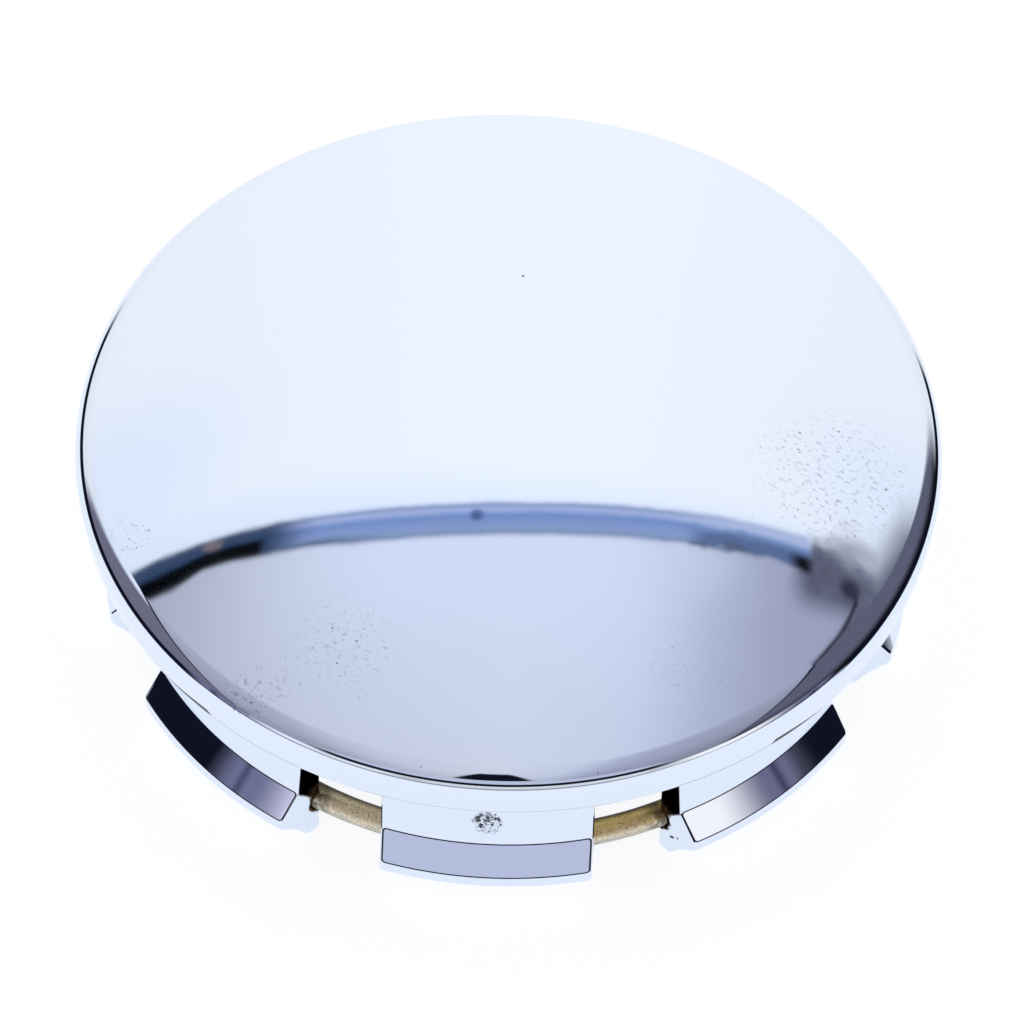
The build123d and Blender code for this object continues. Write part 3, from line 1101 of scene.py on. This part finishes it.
def make_camera():
    data = bpy.data.cameras.new("camera")
    data.lens = CAMERA_LENS
    data.sensor_width = SENSOR_WIDTH
    data.clip_start = 0.05
    camera = bpy.data.objects.new("camera", data)
    bpy.context.scene.collection.objects.link(camera)
    forward = Vector(
        (
            math.sin(CAMERA_HEADING) * math.cos(CAMERA_PITCH),
            math.cos(CAMERA_HEADING) * math.cos(CAMERA_PITCH),
            -math.sin(CAMERA_PITCH),
        )
    )
    right = forward.cross(Vector((0, 0, 1))).normalized()
    up = right.cross(forward)
    cosine, sine = math.cos(CAMERA_ROLL), math.sin(CAMERA_ROLL)
    right, up = right * cosine + up * sine, up * cosine - right * sine
    turn = Matrix((right, up, -forward)).transposed().to_4x4()
    camera.matrix_world = Matrix.Translation(Vector(CAMERA_PLACE) * MM) @ turn
    bpy.context.scene.camera = camera


def make_floor():
    """A plain pale sheet under the legs. From below it is clear."""
    half = FLOOR_HALF * MM
    height = LEG_BOTTOM * MM
    mesh = bpy.data.meshes.new("floor")
    mesh.from_pydata(
        [(-half, -half, height), (half, -half, height), (half, half, height), (-half, half, height)],
        [],
        [(0, 1, 2, 3)],
    )
    material, g = new_material("floor")
    light_path = g.node("LightPath").outputs
    mirrored = g.most(light_path["Is Glossy Ray"], light_path["Is Transmission Ray"])
    tint = g.mix(mirrored, FLOOR_GLOW, FLOOR_MIRRORED)
    strength = g.most(light_path["Is Camera Ray"], mirrored)
    glow = g.node("Emission", {"Color": tint, "Strength": strength}).outputs[0]
    matt = g.node("BsdfDiffuse", {"Color": FLOOR_MATT}).outputs[0]
    sheet = g.node("AddShader", {0: glow, 1: matt}).outputs[0]
    clear = g.node("BsdfTransparent").outputs[0]
    below = g.node("NewGeometry").outputs["Backfacing"]
    surface = g.node("MixShader", {0: below, 1: sheet, 2: clear}).outputs[0]
    g.node("OutputMaterial", {"Surface": surface})
    mesh.materials.append(material)
    floor = bpy.data.objects.new("floor", mesh)
    bpy.context.scene.collection.objects.link(floor)


def make_foot():
    """The low strips round the foot of the tent, which only the plating's reflections show."""
    angles = np.linspace(0, 2 * math.pi, FOOT_COLUMNS, endpoint=False)
    shell = Shell()
    rows = [shell.add_points(*lathe_row((FOOT_RADIUS, height), (-1, 0), angles)) for height in FOOT_HEIGHTS]
    shell.add_strips(rows, closed=True)
    material, g = new_material("tent_foot")
    x, y, z = g.split(g.place())
    azimuth = g.degrees(x, y)
    colour, cover = (0, 0, 0), 0.0
    for low, high, bottom, top, soft_sides, soft_edges, tint in FOOT_STRIPS:
        mask = g.times(g.window(azimuth, low, high, soft_sides), g.window(z, bottom, top, soft_edges))
        colour = g.mix(mask, colour, tint)
        cover = g.most(cover, mask)
    strip = g.node("Emission", {"Color": colour}).outputs[0]
    clear = g.node("BsdfTransparent").outputs[0]
    surface = g.node("MixShader", {0: cover, 1: clear, 2: strip}).outputs[0]
    g.node("OutputMaterial", {"Surface": surface})
    foot = shell.make("tent_foot", material)
    foot.visible_camera = False
    foot.visible_diffuse = False
    foot.visible_shadow = False
    foot.visible_transmission = False


class Tent:
    """The colours of a light tent round the cap, by direction: roof, back wall, two side walls and a rail."""

    def __init__(self, g):
        self.g = g
        self.way = g.node("TexCoord").outputs["Generated"]
        self.x, self.y, self.z = g.split(self.way)
        self.height = g.most(self.z, LOWEST)
        self.u = g.over(self.x, self.height)
        self.v = g.over(self.y, self.height)
        self.spread = g.size(self.u)
        self.smudge = g.add(g.noise(g.vector(self.u, self.v), *SMUDGE_NOISE), -0.5)

        # How far a direction is past the seams, seen from the roof
        near_u = g.least(g.most(self.u, RAIL_BOW_ENDS[0]), RAIL_BOW_ENDS[1])
        square = g.times(near_u, near_u)
        level, slope, bend, twist, droop = RAIL_BOW
        curl = g.add(bend, g.times(twist, near_u), g.times(droop, square))
        bow = g.add(level, g.times(slope, near_u), g.times(square, curl))
        self.past_back = g.less(self.v, bow)
        self.past_left = g.dot(self.way, LEFT_SEAM)
        below = g.least(g.most(g.less(RIGHT_BEND_V, self.v), 0), RIGHT_BEND_MOST)
        level, slope, bend = RIGHT_BEND
        right_bend = g.add(level, g.times(slope, below), g.times(bend, below, below))
        bent = g.times(RIGHT_BEND_SCALE, g.add(self.u, right_bend))
        self.past_right = g.least(g.dot(self.way, RIGHT_SEAM), bent)

    def roof(self):
        g, u, v = self.g, self.u, self.v
        ahead = g.most(g.times(v, -1), 0)
        gleam = g.times(GLEAM, g.smooth(v, *GLEAM_V), g.window(u, *GLEAM_U))
        roof = g.ramp(g.over(g.add(u, gleam), g.add(ahead, 1)), -1.0, 1.0, ROOF_SHADES)
        roof = g.mix(g.steps((v, u, u), ROOF_BACK_AT), roof, ROOF_BACK)
        roof = g.scale(roof, g.fade(ahead, *ROOF_FADE))
        front = g.smooth(self.y, *FRONT_FROM)
        for fade, tint in FRONT_BANDS:
            roof = g.mix(g.times(front, g.smooth(self.z, *fade)), roof, tint)
        slit_width = g.add(SLIT_LEAST, g.times(SLIT_SLOPE, g.add(ahead, -SLIT_APEX)))
        slit = g.times(g.window(ahead, *SLIT), g.smooth(g.over(self.spread, slit_width), *SLIT_EDGE))
        return g.mix(g.most(slit, g.times(front, g.window(self.z, *FRONT_SLOT))), roof, DARK)

    def walls(self):
        g, u, v = self.g, self.u, self.v
        foot_sides = g.times(BACK_SIDES_SHARE, g.steps((self.spread, v), BACK_SIDES))
        foot = g.most(g.smooth(v, *BACK_FOOT_V), foot_sides)
        back = g.mix(foot, BACK_WALL, BACK_FOOT)
        back = g.scale(back, g.blend(g.size(self.x), *BACK_SHADES))
        left = g.scale(LEFT_WALL, g.fade(self.z, *LEFT_FADE))
        smoky = g.add(1, g.times(SMOKE_SMUDGE, self.smudge, g.smooth(self.z, *SMOKE_FROM)))
        right = g.scale(RIGHT_WALL, g.times(smoky, g.fade(self.z, *RIGHT_FADE)))
        sides = g.mix(g.smooth(self.x, *SIDES_MEET), left, right)

        # The smoke's edge stands for the corner between the right wall and the back wall.
        right_of, right_fall = SMOKE_DIP_RIGHT
        left_of, left_fall = SMOKE_DIP_LEFT
        dip = g.add(
            SMOKE_DIP,
            g.times(right_fall, g.most(g.add(u, -right_of), 0)),
            g.times(SMOKE_DIP_SMUDGE, self.smudge),
            g.times(left_fall, g.most(g.less(left_of, u), 0)),
        )
        rises = [g.add(level, g.times(slope, u)) for level, slope in SMOKE_RISES]
        past_corner = g.times(CORNER_SCALE, self.height, g.less(v, g.most(dip, g.least(*rises))))
        crisp = g.times(CORNER_CRISP, g.smooth(u, *CORNER_CRISP_U))
        blur = g.add(g.fade(self.z, *CORNER_BLUR), crisp)
        past_corners = (g.dot(self.way, LEFT_CORNER), g.over(past_corner, blur))
        return g.mix(g.steps(past_corners, BACK_EDGES), sides, back)

    def seams(self, roof, walls):
        """Roof and walls put together, with dark lines along the side seams."""
        g, u, v = self.g, self.u, self.v
        is_wall = g.most(
            g.smooth(self.past_back, *RAIL_SEAM),
            g.smooth(self.past_left, *SEAM_EDGE),
            g.smooth(self.past_right, *SEAM_EDGE),
            g.steps((v, u), SMOKE_AT),
        )
        tent = g.mix(is_wall, roof, walls)
        left_line = g.steps((u, g.size(self.past_left)), LEFT_LINE)
        from_right = g.over(g.size(self.past_right), g.fade(v, *RIGHT_LINE_WIDTH))
        right_line = g.steps((from_right, v), RIGHT_LINE)
        faint_low = g.fade(self.z, *LINE_FAINT)
        tent = g.mix(g.times(faint_low, g.most(left_line, right_line)), tent, DARK)
        return self.spotted(tent, [SMOKE_KNOT])

    def spotted(self, colour, spots):
        g = self.g
        for spot_u, spot_v, reach_u, reach_v, tint in spots:
            spot = g.spot(self.u, self.v, (spot_u, spot_v), (reach_u, reach_v))
            colour = g.mix(g.times(SPOT_SHARE, spot), colour, tint)
        return colour

    def tinted(self, rail, across, tints):
        g = self.g
        for tint, spans, share in tints:
            rail = g.mix(g.times(share, g.steps((self.u, across), spans)), rail, tint)
        return rail

    def rail(self, tent):
        """The tent with the rail along its back seam."""
        g, u = self.g, self.u
        nick_u, nick_edge, nick = RAIL_NICK
        sag = g.add(
            g.times(nick, g.smooth(g.size(g.add(u, nick_u)), *nick_edge)),
            g.times(RAIL_WAVER, self.smudge, g.window(u, *RAIL_WAVER_U)),
            *[g.times(drop, g.smooth(u, *fade)) for fade, drop in RAIL_SAGS],
        )
        across = g.over(g.add(self.past_back, RAIL_HALF, sag), g.add(2 * RAIL_HALF, sag))
        rail = g.ramp(across, 0.0, 1.0, RAIL_SHADES)
        left_u, left_share = RAIL_SHADE_LEFT
        under_spans, under_share = RAIL_SHADE_UNDER
        shaded = g.most(
            g.times(left_share, g.smooth(u, *left_u)),
            g.times(under_share, g.steps((u, across), under_spans)),
        )
        rail = g.mix(shaded, rail, RAIL_SHADE)
        rail = self.tinted(rail, across, RAIL_TINTS)
        rail = self.spotted(rail, RAIL_SPOTS)
        rail = self.tinted(rail, across, RAIL_BLACKS)
        return g.mix(g.times(g.window(across, *RAIL_SIDES), g.window(u, *RAIL_ENDS)), tent, rail)


def make_world():
    """The light tent, which only the plating reflects. The camera sees white past the floor."""
    world = bpy.data.worlds.new("light_tent")
    bpy.context.scene.world = world
    world.use_nodes = True
    world.cycles.sampling_method = "NONE"
    g = Graph(world.node_tree)
    tent = Tent(g)
    colour = tent.rail(tent.seams(tent.roof(), tent.walls()))
    light_path = g.node("LightPath").outputs
    seen = g.node("Background", {"Color": WHITE}).outputs[0]
    reflected = g.node("Background", {"Color": colour}).outputs[0]
    plain = g.node("Background", {"Color": SOFT_LIGHT}).outputs[0]
    light = g.node("MixShader", {0: light_path["Is Glossy Ray"], 1: plain, 2: reflected}).outputs[0]
    surface = g.node("MixShader", {0: light_path["Is Camera Ray"], 1: light, 2: seen}).outputs[0]
    g.node("OutputWorld", {"Surface": surface})


scene = bpy.context.scene
scene.view_settings.view_transform = "Standard"

cap = make_cap(chrome_material())
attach(cap, "root")
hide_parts("cap_body")

ring = make_ring(wire_material())
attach(ring, "root")
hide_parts("spring_ring")

make_floor()
make_foot()
make_world()
make_camera()
